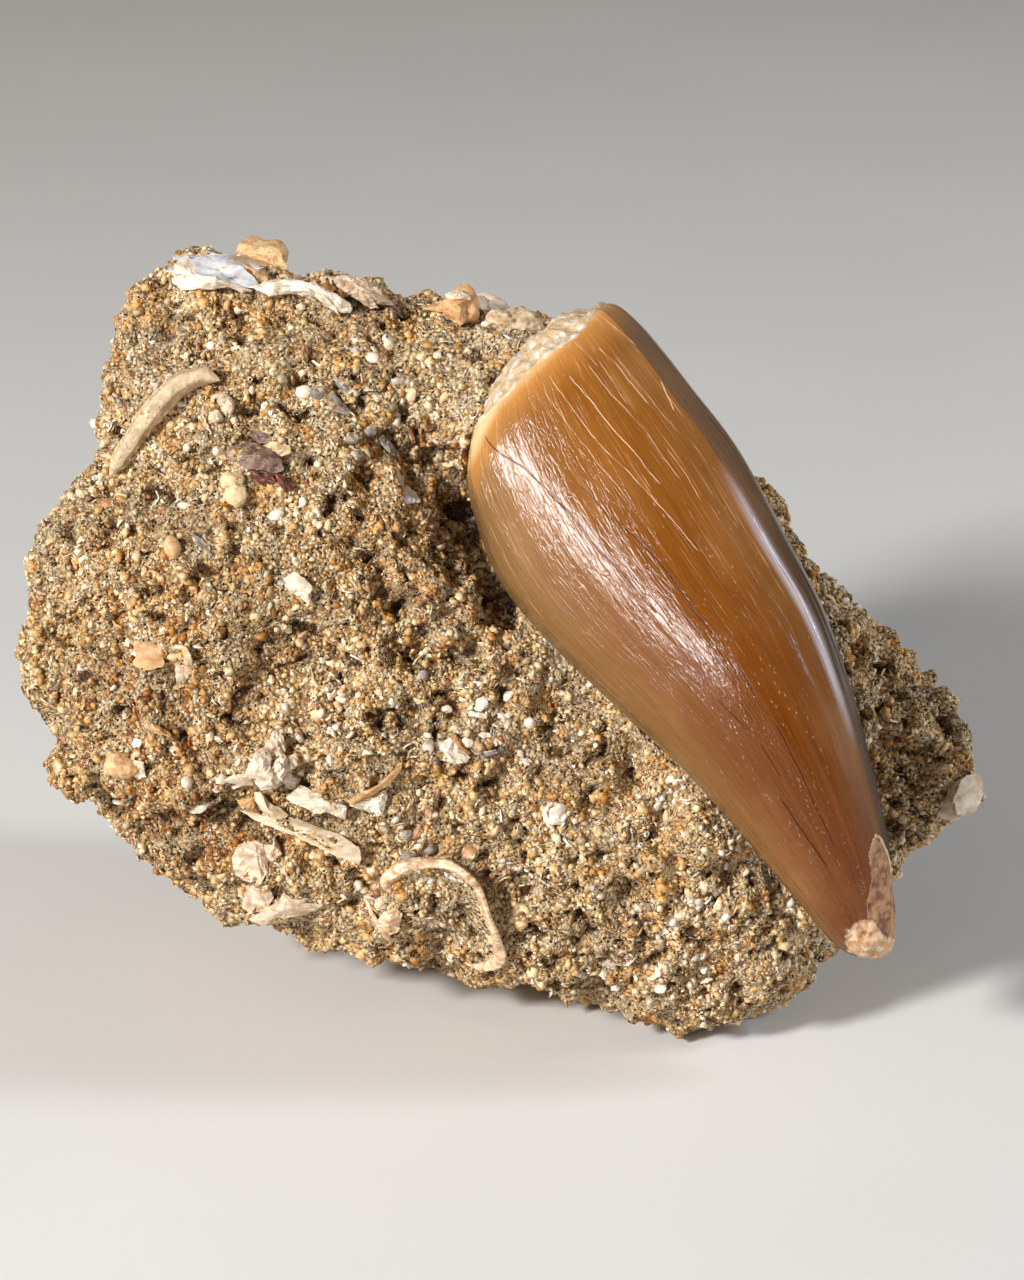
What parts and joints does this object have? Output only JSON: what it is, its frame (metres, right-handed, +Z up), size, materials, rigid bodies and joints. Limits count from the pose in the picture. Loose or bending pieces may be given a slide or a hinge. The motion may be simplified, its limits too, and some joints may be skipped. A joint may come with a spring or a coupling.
{
  "type": "fossil mosasaur tooth",
  "caption": "Glossy curved mosasaur tooth lying across a block of coarse shelly sand rock that stands on a small flat spot.",
  "frame": {"origin": "middle of the small flat spot that the block rests on", "axes": "+X to the right across the shown face, +Y away from the viewer, +Z up"},
  "size_m": [0.0714, 0.0459, 0.0543],
  "materials": {
    "sand_rock": "coarse, gritty, porous sand rock",
    "tooth_enamel": "glossy fossil enamel, orange brown with darker cracks and pale growth lines",
    "cream_shell": "satin shell, slightly worn",
    "white_shell": "matt chalky shell",
    "honey_shell": "satin shell",
    "pink_shell": "satin ridged shell",
    "grey_shell": "satin layered shell",
    "grey_bone": "smooth matt fossil bone",
    "tan_stone": "worn matt pebble",
    "umber_nodule": "slightly glossy phosphate nodule",
    "rust_nodule": "slightly glossy phosphate nodule"
  },
  "bodies": {
    "root": {"matrix_rock": "sand_rock", "mosasaur_tooth": "tooth_enamel", "oyster_shell": "grey_shell", "tan_stone": "tan_stone", "honey_shell": "honey_shell", "white_shell_chip": "white_shell", "porous_bone": "pink_shell", "brown_nodule": "umber_nodule", "red_nodule": "rust_nodule", "cream_nodule": "cream_shell", "knob_shell": "cream_shell", "orange_shell": "honey_shell", "tan_pebble": "tan_stone", "white_flake": "white_shell", "grey_flake": "grey_shell", "white_crust": "white_shell", "upper_fan_shell": "pink_shell", "lower_fan_shell": "pink_shell", "pink_flake": "pink_shell", "white_spot_shell": "white_shell", "corner_shell": "white_shell", "ledge_pebble": "tan_stone", "rib_bone": "grey_bone", "shell_ledge": "cream_shell", "top_shell_rim": "pink_shell", "crescent_shell": "cream_shell", "shell_blade": "cream_shell", "branch_shell": "white_shell", "arc_shell": "cream_shell"}
  },
  "joints": []
}
